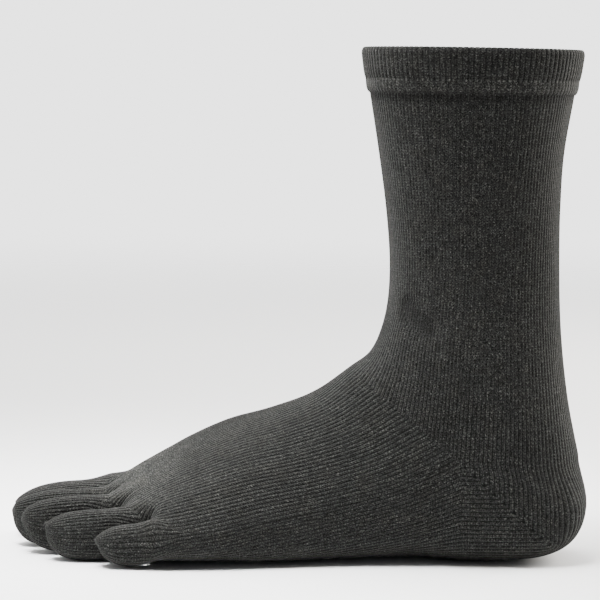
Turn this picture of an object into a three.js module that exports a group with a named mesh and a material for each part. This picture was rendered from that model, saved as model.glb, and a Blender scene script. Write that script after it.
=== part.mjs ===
// A left five-toe crew sock, drawn in the shape that it has on a standing foot.
// Millimetres, +Z up, toes towards -X, the little toe's side towards -Y.
// The origin is where the wearer's heel sits, on the inner face of the sole.
import * as THREE from 'three';

// Overall sizes
const FOOT_LENGTH = 254; // back of the heel to the tip of the longest toe
const SOCK_HEIGHT = 221.5; // floor to the top of the welt
const BALL_WIDTH = 94; // across the ball of the foot
const INSTEP_HEIGHT = 82.3; // floor to the bend at the front of the ankle
const LEG_DEPTH = 86.2; // front to back, where the leg meets the welt
const LEG_WIDTH = 79; // side to side, at the same height
const TOE_HEIGHT = 25; // top of the second toe above the floor

// Fabric
const WALL = 1.4; // one layer of knit
const WELT_HEIGHT = 19.5; // the turned band at the top
const WELT_THICKNESS = 2.6; // two layers of knit
const WELT_FLARE = 4.0; // how far the welt's top stands out past the leg tube
const ZONE_GAP = 0.3; // between one knitted zone and the next
const GAP_SHARE = 0.78; // how much of the gap each zone gives up, with a little to spare
const WEB_WIDTH = 1.6; // strip of knit between two toe pockets

// Where the heel and the leg sit along the foot
const HEEL_SEAT = 39.6; // back of the heel to the origin
const LEG_AXIS = 54; // back of the heel to the leg's middle
const HEEL_BULGE = 3.7; // the heel's back, past the back of the leg's last row
const BULGE_TURN = 0.3; // how much of the heel's turn the bulge takes to grow
const HEEL_SQUARENESS = 3.9; // superellipse power of the heel's side view
const MITRE_SQUARENESS = 10; // the same for wales near the heel's corner, which turn sharply
const SOLE_TURN = 0.65; // how much of the heel's turn its sides take to get as square as the sole

// Leg sections from the top down to the row through the heel's corners. The rise of the front, side and back
// is a share of the way from that row to the leg's top. Depths are shares of LEG_DEPTH from the leg's middle.
const LEG_ROWS = [
  { front_rise: 1.0, side_rise: 1.0, back_rise: 1.0, front: 0.513, back: 0.512, half_width: 0.5 },
  { front_rise: 0.78, side_rise: 0.83, back_rise: 0.84, front: 0.461, back: 0.469, half_width: 0.456 },
  { front_rise: 0.575, side_rise: 0.68, back_rise: 0.694, front: 0.419, back: 0.458, half_width: 0.412 },
  { front_rise: 0.385, side_rise: 0.535, back_rise: 0.556, front: 0.396, back: 0.46, half_width: 0.384 },
  { front_rise: 0.238, side_rise: 0.4, back_rise: 0.41, front: 0.403, back: 0.47, half_width: 0.386 },
  { front_rise: 0.128, side_rise: 0.27, back_rise: 0.282, front: 0.437, back: 0.49, half_width: 0.415 },
  { front_rise: 0.052, side_rise: 0.13, back_rise: 0.142, front: 0.49, back: 0.527, half_width: 0.434 },
];
const LEG_ROUNDNESS = 2.15; // superellipse power of the leg's sections

// Foot sections from the heel's corners to the ball. Reaches are shares of FOOT_LENGTH from the heel's back,
// heights are shares of INSTEP_HEIGHT, and distances to either side are shares of BALL_WIDTH. dome, base and
// arch are the superellipse powers of the section's top, and of its underside on the outer and inner side.
const FOOT_ROWS = [
  {
    top_reach: 0.41, top_z: 1.0, outer_reach: 0.227, outer_z: 0.555, inner_reach: 0.227, inner_z: 0.555,
    sole_reach: 0.219, sole_z: 0.0, ridge_y: 0.01, outer_y: 0.351, inner_y: 0.351,
    dome: 2.1, base: 4.2, arch: 4.2,
  },
  {
    top_reach: 0.471, top_z: 0.858, outer_reach: 0.321, outer_z: 0.413, inner_reach: 0.321, inner_z: 0.46,
    sole_reach: 0.306, sole_z: 0.006, ridge_y: 0.053, outer_y: 0.352, inner_y: 0.356,
    dome: 2.0, base: 3.2, arch: 2.8,
  },
  {
    top_reach: 0.542, top_z: 0.765, outer_reach: 0.431, outer_z: 0.316, inner_reach: 0.431, inner_z: 0.4,
    sole_reach: 0.416, sole_z: 0.006, ridge_y: 0.085, outer_y: 0.37, inner_y: 0.362,
    dome: 1.95, base: 4.0, arch: 2.2,
  },
  {
    top_reach: 0.617, top_z: 0.69, outer_reach: 0.54, outer_z: 0.249, inner_reach: 0.56, inner_z: 0.32,
    sole_reach: 0.538, sole_z: 0.0, ridge_y: 0.128, outer_y: 0.43, inner_y: 0.405,
    dome: 1.9, base: 4.6, arch: 2.3,
  },
  {
    top_reach: 0.687, top_z: 0.583, outer_reach: 0.622, outer_z: 0.19, inner_reach: 0.668, inner_z: 0.23,
    sole_reach: 0.64, sole_z: 0.0, ridge_y: 0.181, outer_y: 0.482, inner_y: 0.473,
    dome: 1.9, base: 3.6, arch: 2.7,
  },
  {
    top_reach: 0.75, top_z: 0.462, outer_reach: 0.685, outer_z: 0.16, inner_reach: 0.748, inner_z: 0.18,
    sole_reach: 0.711, sole_z: 0.0, ridge_y: 0.24, outer_y: 0.505, inner_y: 0.495,
    dome: 2.0, base: 3.2, arch: 3.0,
  },
];

// Webs between the toes, with the foot's outer and inner side as the first and last. Reaches are shares of
// FOOT_LENGTH, sides are shares of BALL_WIDTH and heights are shares of TOE_HEIGHT.
const WEBS = [
  { reach: 0.732, y: -0.515, top_z: 0.38, bottom_z: 0.38 },
  { reach: 0.75, y: -0.372, top_z: 0.54, bottom_z: 0.22 },
  { reach: 0.812, y: -0.213, top_z: 0.62, bottom_z: 0.22 },
  { reach: 0.834, y: -0.046, top_z: 0.66, bottom_z: 0.22 },
  { reach: 0.834, y: 0.135, top_z: 0.66, bottom_z: 0.22 },
  { reach: 0.828, y: 0.452, top_z: 0.52, bottom_z: 0.52 },
];
const WEB_SAG = 1.2; // how far the middle of a web lies behind its top and bottom edges
const GROOVE_FADE = 0.25; // how much of each groove is left at the toes' roots
const ROOT_PLACE = 0.62; // the roots' row, as a share of the way from the ball to the webs

// Toe pockets. tip is a share of FOOT_LENGTH, tip_y of BALL_WIDTH, base_z and height of TOE_HEIGHT, and tip_z
// of the pocket's own height. tuck and droop say how much more than the others its underside rises, and its
// top falls, towards the tip. wales counts the columns of stitches over the top of the pocket, and facets the
// flats that stand for them.
const TOES = [
  {
    name: 'little_toe', tip: 0.8365, tip_y: -0.43, tip_z: 0.61,
    base_z: 0.83, height: 0.75, tuck: 0.14, droop: 0.09, facets: 4, wales: 12,
  },
  {
    name: 'fourth_toe', tip: 0.9245, tip_y: -0.292, tip_z: 0.72,
    base_z: 0.95, height: 0.88, tuck: -0.07, droop: 0.0, facets: 4, wales: 12,
  },
  {
    name: 'third_toe', tip: 0.971, tip_y: -0.133, tip_z: 0.58,
    base_z: 1.03, height: 1.0, tuck: 0.0, droop: 0.0, facets: 4, wales: 12,
  },
  {
    name: 'second_toe', tip: 0.9945, tip_y: 0.042, tip_z: 0.6,
    base_z: 1.05, height: 1.0, tuck: -0.1, droop: 0.0, facets: 4, wales: 12,
  },
  {
    name: 'big_toe', tip: 1.0, tip_y: 0.29, tip_z: 0.58,
    base_z: 1.13, height: 1.0, tuck: -0.1, droop: 0.07, facets: 6, wales: 20,
  },
];
const WEB_WALES = 1; // columns of stitches in each web
const TOE_CREASE = 0.1; // the sole's height where the toes start, as a share of TOE_HEIGHT
const TOE_ROUNDNESS = 2.3; // superellipse power of a toe's sections
const TOE_SPREAD = 0.92; // a toe's width, as a share of the distance between its webs
const SIDE_ANGLE = THREE.MathUtils.degToRad(30); // half the arc of a toe that its web side takes
const SIDE_FACETS = 3;

// One pocket's sections: share of its length, of its width, and of its height for its top and its underside
const TOE_ROWS = [
  { along: 0.25, width: 1.0, top: 1.01, bottom: 0.03 },
  { along: 0.5, width: 1.02, top: 0.98, bottom: 0.0 },
  { along: 0.7, width: 1.0, top: 0.93, bottom: 0.05 },
  { along: 0.85, width: 0.85, top: 0.85, bottom: 0.17 },
  { along: 0.955, width: 0.5, top: 0.75, bottom: 0.4 },
];

// The welt's outline: share of its height, and how far out it is as a share of WELT_FLARE
const WELT_OUTLINE = [
  { rise: 0.0, out: 0.07 },
  { rise: 0.17, out: 0.4 },
  { rise: 0.36, out: 0.61 },
  { rise: 0.66, out: 0.87 },
  { rise: 0.87, out: 1.0 },
];
const FOLD_ROUNDING = 0.36; // how far the fold's shoulders pull in, as a share of WELT_THICKNESS

// Soft hollows where the knit sinks in front of the outer ankle bone: reach is a share of FOOT_LENGTH, z of
// INSTEP_HEIGHT, y of LEG_WIDTH, and radius and depth of LEG_WIDTH
const DENTS = [
  { reach: 0.316, y: -0.278, z: 1.372, radius: 0.06, depth: 0.0127 },
  { reach: 0.298, y: -0.305, z: 1.309, radius: 0.06, depth: 0.0165 },
  { reach: 0.278, y: -0.335, z: 1.236, radius: 0.06, depth: 0.0127 },
];

// How finely the solids are cut
const FOOT_STEPS = 2; // rows for each foot section
const TOE_BASE_ROW = 4; // the foot section where the toes' base starts
const LEG_STEPS = 2; // rows for each leg section
const HEEL_STEPS = 8; // rows round the heel pocket
const ARC_SAMPLES = 96; // points that measure a section's length

const KNIT = { color: 0x3a3a38, roughness: 0.95, metalness: 0.0 };

const FLOOR = -WALL;
const HEEL_BACK = HEEL_SEAT;
const LEG_TOP = SOCK_HEIGHT - WELT_HEIGHT;
const QUARTER = Math.PI / 2;

const at = (reach, y, z) => new THREE.Vector3(HEEL_BACK - reach, y, FLOOR + z);
const mix = THREE.MathUtils.lerp;
const bow = (value, power) => Math.pow(Math.max(value, 0), 2 / power);

// Columns of the whole sock: fractions across its upper half, from the little toe's side over the front.
// Each toe takes its share of the wales, and each web a narrow column between two toes.
function upperColumns() {
  const total = TOES.reduce((sum, toe) => sum + toe.wales, 0) + WEB_WALES * (TOES.length - 1);
  const columns = [];
  let wale = 0;
  TOES.forEach((toe, t) => {
    for (let i = 0; i <= toe.facets; i++) {
      columns.push({ share: (wale + (toe.wales * i) / toe.facets) / total, toe: t, across: i / toe.facets });
    }
    wale += toe.wales + WEB_WALES;
  });
  return columns;
}
const COLUMNS = upperColumns();
const LAST = COLUMNS.length - 1;

// Half of a section, from its outer side point over its middle point to its inner side point, as the points
// that divide its length in the columns' shares. Each point also says how far it is from side to middle.
function halfSection(outer, middle, inner, outerPower, innerPower = outerPower) {
  const point = (angle) => {
    const side = angle < QUARTER ? outer : inner;
    const power = angle < QUARTER ? outerPower : innerPower;
    const toMiddle = bow(Math.sin(angle), power);
    const toSide = bow(Math.abs(Math.cos(angle)), power);
    const p = new THREE.Vector3();
    p.x = mix(side.x, middle.x, toMiddle);
    p.z = mix(side.z, middle.z, toMiddle);
    p.y = mix(middle.y, side.y, toSide);
    return { p, toMiddle, side: angle < QUARTER ? -1 : 1 };
  };
  const samples = Array.from({ length: ARC_SAMPLES + 1 }, (_, i) => point((Math.PI * i) / ARC_SAMPLES));
  const lengths = [0];
  for (let i = 1; i <= ARC_SAMPLES; i++) {
    lengths.push(lengths[i - 1] + samples[i].p.distanceTo(samples[i - 1].p));
  }
  return COLUMNS.map(({ share }) => {
    const wanted = share * lengths[ARC_SAMPLES];
    let i = 1;
    while (i < ARC_SAMPLES && lengths[i] < wanted) i++;
    const part = (wanted - lengths[i - 1]) / (lengths[i] - lengths[i - 1]);
    return point((Math.PI * (i - 1 + part)) / ARC_SAMPLES);
  });
}
const points = (half) => half.map((entry) => entry.p);

// The foot's section rows, each as an upper and a lower half
function footSection(row) {
  const outer = at(row.outer_reach * FOOT_LENGTH, -row.outer_y * BALL_WIDTH, row.outer_z * INSTEP_HEIGHT);
  const inner = at(row.inner_reach * FOOT_LENGTH, row.inner_y * BALL_WIDTH, row.inner_z * INSTEP_HEIGHT);
  const top = at(row.top_reach * FOOT_LENGTH, row.ridge_y * BALL_WIDTH, row.top_z * INSTEP_HEIGHT);
  const sole = at(row.sole_reach * FOOT_LENGTH, 0, row.sole_z * INSTEP_HEIGHT);
  return { outer, inner, top, sole, upper: halfSection(outer, top, inner, row.dome),
    lower: halfSection(outer, sole, inner, row.base, row.arch) };
}
const FOOT_SECTIONS = FOOT_ROWS.map(footSection);
const CORNER = FOOT_SECTIONS[0];
const ankleBack = new THREE.Vector3(HEEL_BACK - HEEL_BULGE, 0, CORNER.outer.z);

function legSection(row) {
  const rise = (start, share) => mix(start, FLOOR + LEG_TOP, share);
  const x = HEEL_BACK - LEG_AXIS;
  const sideX = mix(CORNER.outer.x, x, Math.min(1, row.side_rise * 2));
  const outer = new THREE.Vector3(sideX, -row.half_width * LEG_WIDTH, rise(CORNER.outer.z, row.side_rise));
  const inner = outer.clone().setY(-outer.y);
  const front = new THREE.Vector3(x - row.front * LEG_DEPTH, 0, rise(CORNER.top.z, row.front_rise));
  const back = new THREE.Vector3(x + row.back * LEG_DEPTH, 0, rise(ankleBack.z, row.back_rise));
  return { outer, inner, front, back, upper: halfSection(outer, front, inner, LEG_ROUNDNESS),
    lower: halfSection(outer, back, inner, LEG_ROUNDNESS) };
}
const LEG_SECTIONS = LEG_ROWS.map(legSection);

// The heel pocket fans round the heel's corners. Its wales run down from the leg, turn at a mitre line and
// run forward along the sole. turn is 0 at the leg's last row and 1 at the foot's first.
const heelTop = halfSection(CORNER.outer, ankleBack, CORNER.inner, LEG_ROUNDNESS);
function heelRow(turn) {
  const angle = turn * QUARTER;
  const [c, s] = [Math.cos(angle), Math.sin(angle)];
  const power = mix(LEG_ROUNDNESS, FOOT_ROWS[0].base, THREE.MathUtils.smoothstep(turn, 0, SOLE_TURN));
  return COLUMNS.map((_, i) => {
    const back = heelTop[i].toMiddle;
    const down = CORNER.lower[i].toMiddle;
    const mitre = mix(MITRE_SQUARENESS, HEEL_SQUARENESS, Math.pow(back * c * c + down * s * s, 2));
    const reach = Math.pow(Math.pow(c, mitre) + Math.pow(s, mitre), -1 / mitre);
    const out = Math.min(1, Math.pow(Math.pow(back * c * reach, HEEL_SQUARENESS)
      + Math.pow(down * s * reach, HEEL_SQUARENESS), 1 / HEEL_SQUARENESS));
    const y = Math.pow(1 - Math.pow(out, power), 1 / power);
    const depth = ankleBack.x - CORNER.outer.x + HEEL_BULGE * THREE.MathUtils.smoothstep(turn, 0, BULGE_TURN);
    const p = new THREE.Vector3();
    p.x = CORNER.outer.x + depth * back * c * reach + (CORNER.sole.x - CORNER.outer.x) * down * s * reach;
    p.z = CORNER.outer.z + (CORNER.sole.z - CORNER.outer.z) * down * s * reach;
    p.y = (heelTop[i].side < 0 ? CORNER.outer.y : CORNER.inner.y) * y;
    return p;
  });
}

// Where the toes part. groove is 1 at the webs themselves, and less further back.
function toeArch(toeIndex, across, groove, upper) {
  const toe = TOES[toeIndex];
  const [left, right] = [WEBS[toeIndex], WEBS[toeIndex + 1]];
  const [firstToe, lastToe] = [toeIndex === 0, toeIndex === TOES.length - 1];
  const yLeft = left.y * BALL_WIDTH + (firstToe ? 0 : WEB_WIDTH / 2);
  const yRight = right.y * BALL_WIDTH - (lastToe ? 0 : WEB_WIDTH / 2);
  const angle = Math.PI * across;
  const arch = bow(Math.sin(angle), 2);
  const crest = upper ? toe.base_z : TOE_CREASE;
  const nearLeft = across < 0.5;
  const web = nearLeft ? left : right;
  const neighbour = TOES[toeIndex + (nearLeft ? -1 : 1)];
  const webZ = upper ? web.top_z : web.bottom_z;
  const level = upper && neighbour ? (crest + neighbour.base_z) / 2 : crest;
  const low = neighbour ? mix(level, webZ, groove) : webZ;
  const y = (yLeft + yRight) / 2 - ((yRight - yLeft) / 2) * Math.cos(angle);
  return at(mix(left.reach, right.reach, across) * FOOT_LENGTH, y, mix(low, crest, arch) * TOE_HEIGHT);
}
const webRow = (upper) => COLUMNS.map(({ toe, across }) => toeArch(toe, across, 1, upper));
function rootRow(upper) {
  const ball = points(FOOT_SECTIONS[FOOT_SECTIONS.length - 1][upper ? 'upper' : 'lower']);
  return COLUMNS.map(({ toe, across }, i) => ball[i].clone()
    .lerp(toeArch(toe, across, GROOVE_FADE, upper), ROOT_PLACE));
}

// The shape of one pocket, as rings of points. Each ring starts at the outer side and goes over the top.
function toeSpan(toeIndex) {
  const [first, last] = [toeIndex === 0, toeIndex === TOES.length - 1];
  return { start: Math.PI - (first ? 0 : SIDE_ANGLE), end: last ? 0 : SIDE_ANGLE };
}
function toeAngles(toeIndex) {
  const { facets } = TOES[toeIndex];
  const { start, end } = toeSpan(toeIndex);
  const sweep = (from, to, count) => Array.from({ length: count }, (_, i) => mix(from, to, i / count));
  return [
    ...sweep(start, end, facets),
    ...sweep(end, -end, end > 0 ? SIDE_FACETS : 0),
    ...sweep(-end, -start, facets),
    ...sweep(-start, start - 2 * Math.PI, start < Math.PI ? SIDE_FACETS : 0),
  ];
}
function toeRing(toeIndex, row) {
  const toe = TOES[toeIndex];
  const [left, right] = [WEBS[toeIndex], WEBS[toeIndex + 1]];
  const halfWidth = ((right.y - left.y) * BALL_WIDTH * TOE_SPREAD * row.width) / 2;
  const middle = mix((left.y + right.y) / 2, toe.tip_y, row.along) * BALL_WIDTH;
  const height = toe.height * TOE_HEIGHT;
  const top = height * (row.top - toe.droop * row.along ** 2);
  const bottom = height * Math.max(0, row.bottom + toe.tuck * row.along ** 2);
  return toeAngles(toeIndex).map((angle) => {
    const [c, s] = [Math.cos(angle), Math.sin(angle)];
    const side = Math.sign(c) * bow(Math.abs(c), TOE_ROUNDNESS);
    const up = Math.sign(s) * bow(Math.abs(s), TOE_ROUNDNESS);
    const rootReach = mix(left.reach, right.reach, (side + 1) / 2);
    return at(mix(rootReach, toe.tip, row.along) * FOOT_LENGTH, middle + halfWidth * side,
      (top + bottom) / 2 + ((top - bottom) / 2) * up);
  });
}
function webEdge(webIndex, side) {
  const web = WEBS[webIndex];
  const y = web.y * BALL_WIDTH + (side * WEB_WIDTH) / 2;
  return Array.from({ length: SIDE_FACETS + 1 }, (_, i) => {
    const down = i / SIDE_FACETS;
    return at(web.reach * FOOT_LENGTH - WEB_SAG * Math.sin(Math.PI * down), y,
      mix(web.top_z, web.bottom_z, down) * TOE_HEIGHT);
  });
}

// A smooth curve through a column's rows, read at a row number that needn't be whole
function alongRows(rows, place) {
  const i = Math.min(Math.floor(place), rows.length - 2);
  const t = place - i;
  const pick = (n, a, b) => rows[n] ?? rows[a].clone().multiplyScalar(2).sub(rows[b]);
  const [a, b, c, d] = [pick(i - 1, i, i + 1), rows[i], rows[i + 1], pick(i + 2, i + 1, i)];
  const curve = (p, q, r, s) =>
    q + 0.5 * t * (r - p + t * (2 * p - 5 * q + 4 * r - s + t * (3 * (q - r) + s - p)));
  return new THREE.Vector3(curve(a.x, b.x, c.x, d.x), curve(a.y, b.y, c.y, d.y), curve(a.z, b.z, c.z, d.z));
}

const WELD = 1e-3; // points closer than this are one vertex

// The outer surface of the whole sock, welded, with the zone that each face belongs to
class Skin {
  constructor() {
    this.vertices = [];
    this.faces = [];
    this.known = new Map();
  }

  // Every point belongs to one or two cells along each axis, so that equal points always share a cell
  cells(p) {
    const along = (v) => [...new Set([Math.floor(v / WELD), Math.round(v / WELD)])];
    const [xs, ys, zs] = [along(p.x), along(p.y), along(p.z)];
    return xs.flatMap((x) => ys.flatMap((y) => zs.map((z) => [x, y, z].join())));
  }

  vertex(p) {
    const cells = this.cells(p);
    const known = cells.find((cell) => this.known.has(cell));
    if (known !== undefined) return this.known.get(known);
    cells.forEach((cell) => this.known.set(cell, this.vertices.length));
    this.vertices.push(p.clone());
    return this.vertices.length - 1;
  }

  triangle(zone, a, b, c) {
    const ids = [this.vertex(a), this.vertex(b), this.vertex(c)];
    if (new Set(ids).size === 3) this.faces.push({ zone, ids });
  }

  // Rows run down the sock and on to the toes, and columns run from right to left when seen from outside
  grid(zone, rows, closed = false) {
    for (let r = 0; r + 1 < rows.length; r++) {
      const width = rows[r].length;
      for (let c = 0; c < (closed ? width : width - 1); c++) {
        const d = (c + 1) % width;
        this.triangle(zone, rows[r][c], rows[r + 1][d], rows[r + 1][c]);
        this.triangle(zone, rows[r][c], rows[r][d], rows[r + 1][d]);
      }
    }
  }

  fan(zone, ring, tip) {
    ring.forEach((p, i) => this.triangle(zone, p, ring[(i + 1) % ring.length], tip));
  }

  normals() {
    const sums = this.vertices.map(() => new THREE.Vector3());
    for (const { ids } of this.faces) {
      const [a, b, c] = ids.map((id) => this.vertices[id]);
      const area = b.clone().sub(a).cross(c.clone().sub(a));
      ids.forEach((id) => sums[id].add(area));
    }
    return sums.map((n) => n.normalize());
  }
}

function sink(skin, normals) {
  for (const { reach, y, z, radius, depth } of DENTS) {
    const middle = at(reach * FOOT_LENGTH, y * LEG_WIDTH, z * INSTEP_HEIGHT);
    skin.vertices.forEach((p, i) => {
      const away = p.distanceTo(middle) / (radius * LEG_WIDTH);
      p.addScaledVector(normals[i], -depth * LEG_WIDTH * Math.exp(-away * away));
    });
  }
}

// One zone of the skin as a closed wall. Its rims are drawn back by half the gap, so that zones don't touch.
function thicken(skin, normals, zone) {
  const faces = skin.faces.filter((face) => face.zone === zone).map((face) => face.ids);
  const used = [...new Set(faces.flat())];
  const edges = new Map();
  for (const [a, b, c] of faces) {
    for (const [from, to] of [[a, b], [b, c], [c, a]]) edges.set(`${from},${to}`, [from, to]);
  }
  const rim = [...edges.values()].filter(([from, to]) => !edges.has(`${to},${from}`));
  const inward = new Map(used.map((id) => [id, new THREE.Vector3()]));
  for (const [from, to] of rim) {
    const along = skin.vertices[to].clone().sub(skin.vertices[from]).normalize();
    for (const id of [from, to]) inward.get(id).add(normals[id].clone().cross(along).normalize());
  }
  const positions = [];
  const outerIndex = new Map();
  used.forEach((id, i) => {
    outerIndex.set(id, i);
    const step = inward.get(id);
    const mitre = Math.max(step.length() / 2, 0.5);
    if (step.lengthSq() > 0) step.setLength((ZONE_GAP * GAP_SHARE) / mitre);
    positions.push(skin.vertices[id].clone().add(step));
  });
  used.forEach((id, i) => positions.push(positions[i].clone().addScaledVector(normals[id], -WALL)));
  const inner = (id) => outerIndex.get(id) + used.length;
  const index = [];
  for (const [a, b, c] of faces) {
    index.push(outerIndex.get(a), outerIndex.get(b), outerIndex.get(c), inner(c), inner(b), inner(a));
  }
  for (const [from, to] of rim) {
    const [a, b, c, d] = [outerIndex.get(from), inner(from), inner(to), outerIndex.get(to)];
    index.push(...(from < to ? [a, b, c, a, c, d] : [a, b, d, b, c, d]));
  }
  return bodyOf(positions, index);
}

function bodyOf(positions, index) {
  const geometry = new THREE.BufferGeometry();
  const coordinates = positions.flatMap((p) => p.toArray());
  geometry.setAttribute('position', new THREE.Float32BufferAttribute(coordinates, 3));
  geometry.setIndex(index);
  geometry.computeVertexNormals();
  return geometry;
}

// A closed ring of a section: its upper half, then its lower half back again
const closedRing = (upper, lower) => [...upper, ...lower.slice(1, -1).reverse()];

function buildSkin() {
  const skin = new Skin();
  const legUpper = LEG_SECTIONS.map((section) => points(section.upper));
  const legLower = LEG_SECTIONS.map((section) => points(section.lower));
  const footUpper = [...FOOT_SECTIONS.map((section) => points(section.upper)), rootRow(true), webRow(true)];
  const footLower = [...FOOT_SECTIONS.map((section) => points(section.lower)), rootRow(false), webRow(false)];

  const smooth = (rows, steps) => Array.from({ length: (rows.length - 1) * steps + 1 }, (_, n) =>
    rows[0].map((__, c) => alongRows(rows.map((row) => row[c]), n / steps)));
  skin.grid('leg_tube', smooth([...legUpper.map((upper, r) => closedRing(upper, legLower[r])),
    closedRing(footUpper[0], points(heelTop))], LEG_STEPS), true);

  const heelRows = Array.from({ length: HEEL_STEPS + 1 }, (_, r) => heelRow(r / HEEL_STEPS).reverse());
  heelRows[0] = points(heelTop).reverse();
  heelRows[HEEL_STEPS] = [...footLower[0]].reverse();
  skin.grid('heel_pocket', heelRows);

  const split = TOE_BASE_ROW * FOOT_STEPS;
  const footTop = smooth(footUpper, FOOT_STEPS);
  const footSole = smooth(footLower, FOOT_STEPS).map((row) => row.reverse());
  for (const rows of [footTop, footSole]) {
    skin.grid('foot_tube', rows.slice(0, split + 1));
    skin.grid('toe_base', rows.slice(split));
  }
  for (let w = 1; w < WEBS.length - 1; w++) {
    const [left, right] = [webEdge(w, -1), webEdge(w, 1)];
    skin.grid('toe_base', left.map((p, i) => [p, right[i]]));
  }

  TOES.forEach((toe, t) => {
    const mine = COLUMNS.map((column, c) => (column.toe === t ? c : -1)).filter((c) => c >= 0);
    const top = mine.map((c) => footUpper[footUpper.length - 1][c]);
    const bottom = mine.map((c) => footLower[footLower.length - 1][c]).reverse();
    const [isFirst, isLast] = [t === 0, t === TOES.length - 1];
    const root = [
      ...top.slice(0, -1),
      ...(isLast ? [] : webEdge(t + 1, -1).slice(0, -1)),
      ...bottom.slice(0, -1),
      ...(isFirst ? [] : webEdge(t, 1).reverse().slice(0, -1)),
    ];
    const rings = [root, ...TOE_ROWS.map((row) => toeRing(t, row))];
    skin.grid(toe.name, rings, true);
    const tip = at(toe.tip * FOOT_LENGTH, toe.tip_y * BALL_WIDTH, toe.height * TOE_HEIGHT * toe.tip_z);
    skin.fan(toe.name, rings[rings.length - 1], tip);
  });
  return skin;
}

// The welt: knit turned over at the top and down inside, so that the band is two layers thick
function weltBody() {
  const legTop = LEG_SECTIONS[0];
  const ring = (rise, out) => {
    const z = FLOOR + LEG_TOP + rise * WELT_HEIGHT;
    const lift = (p, x, y) => new THREE.Vector3(p.x + x * out, p.y + y * out, z);
    const [outer, inner] = [lift(legTop.outer, 0, -1), lift(legTop.inner, 0, 1)];
    const upper = halfSection(outer, lift(legTop.front, -1, 0), inner, LEG_ROUNDNESS);
    const lower = halfSection(outer, lift(legTop.back, 1, 0), inner, LEG_ROUNDNESS);
    return closedRing(points(upper), points(lower));
  };
  const gapRise = ZONE_GAP / WELT_HEIGHT;
  const outside = WELT_OUTLINE.map(({ rise, out }) => ({
    rise: Math.max(rise, gapRise),
    out: out * WELT_FLARE,
  }));
  const inside = outside
    .map(({ rise, out }, i) => ({ rise, out: out - (i ? WELT_THICKNESS : WALL) }))
    .reverse();
  const crown = outside[outside.length - 1].out;
  const shoulder = FOLD_ROUNDING * WELT_THICKNESS;
  const outline = [...outside, { rise: 1, out: crown - shoulder },
    { rise: 1, out: crown - WELT_THICKNESS + shoulder }, ...inside];
  const rings = outline.map(({ rise, out }) => ring(rise, out));
  const count = rings[0].length;
  const index = [];
  rings.forEach((_, r) => {
    const next = (r + 1) % rings.length;
    for (let c = 0; c < count; c++) {
      const d = (c + 1) % count;
      index.push(r * count + c, next * count + c, next * count + d);
      index.push(r * count + c, next * count + d, r * count + d);
    }
  });
  return bodyOf(rings.flat(), index);
}

const sock = new THREE.Group();
function add(name, geometry) {
  const mesh = new THREE.Mesh(geometry, new THREE.MeshStandardMaterial(KNIT));
  mesh.name = name;
  sock.add(mesh);
}

const skin = buildSkin();
sink(skin, skin.normals());
const skinNormals = skin.normals();
add('cuff_welt', weltBody());
for (const zone of ['leg_tube', 'heel_pocket', 'foot_tube', 'toe_base', ...TOES.map((toe) => toe.name)]) {
  add(zone, thicken(skin, skinNormals, zone));
}

export default sock;
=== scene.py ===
import math

import bpy
import numpy as np
from mathutils import Matrix, Vector


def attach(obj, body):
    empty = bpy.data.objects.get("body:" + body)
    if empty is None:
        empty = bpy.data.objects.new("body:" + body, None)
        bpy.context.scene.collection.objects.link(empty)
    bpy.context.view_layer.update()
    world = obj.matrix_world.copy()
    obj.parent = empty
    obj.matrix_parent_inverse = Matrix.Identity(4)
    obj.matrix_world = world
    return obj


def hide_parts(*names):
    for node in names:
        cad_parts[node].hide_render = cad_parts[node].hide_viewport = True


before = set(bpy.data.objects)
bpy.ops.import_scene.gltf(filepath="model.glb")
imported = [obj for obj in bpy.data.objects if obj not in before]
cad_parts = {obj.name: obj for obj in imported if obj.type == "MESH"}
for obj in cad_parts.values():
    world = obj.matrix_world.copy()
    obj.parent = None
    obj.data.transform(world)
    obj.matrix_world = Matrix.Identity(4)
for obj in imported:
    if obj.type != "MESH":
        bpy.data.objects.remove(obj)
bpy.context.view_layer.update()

MM = 0.001  # a millimetre in metres

# Sizes in millimetres, as in the CAD part
FOOT_LENGTH = 254.0
SOCK_HEIGHT = 221.5
BALL_WIDTH = 94.0
INSTEP_HEIGHT = 82.3
LEG_DEPTH = 86.2
LEG_WIDTH = 79.0
TOE_HEIGHT = 25.0
WALL = 1.4
WELT_HEIGHT = 19.5
WELT_THICKNESS = 2.6
WELT_FLARE = 4.0
WEB_WIDTH = 1.6
HEEL_SEAT = 39.6
LEG_AXIS = 54.0
HEEL_BULGE = 3.7
BULGE_TURN = 0.3
HEEL_SQUARENESS = 3.9
MITRE_SQUARENESS = 10.0
SOLE_TURN = 0.65
LEG_ROUNDNESS = 2.15
FLOOR = -WALL
LEG_TOP = SOCK_HEIGHT - WELT_HEIGHT
SIDE_LINE_RISE = 0.5  # how far up the leg its side line comes to stand on the leg's axis

# front rise, side rise, back rise, front, back, half width
LEG_ROWS = [
    (1.0, 1.0, 1.0, 0.513, 0.512, 0.5),
    (0.78, 0.83, 0.84, 0.461, 0.469, 0.456),
    (0.575, 0.68, 0.694, 0.419, 0.458, 0.412),
    (0.385, 0.535, 0.556, 0.396, 0.46, 0.384),
    (0.238, 0.4, 0.41, 0.403, 0.47, 0.386),
    (0.128, 0.27, 0.282, 0.437, 0.49, 0.415),
    (0.052, 0.13, 0.142, 0.49, 0.527, 0.434),
]

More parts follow.
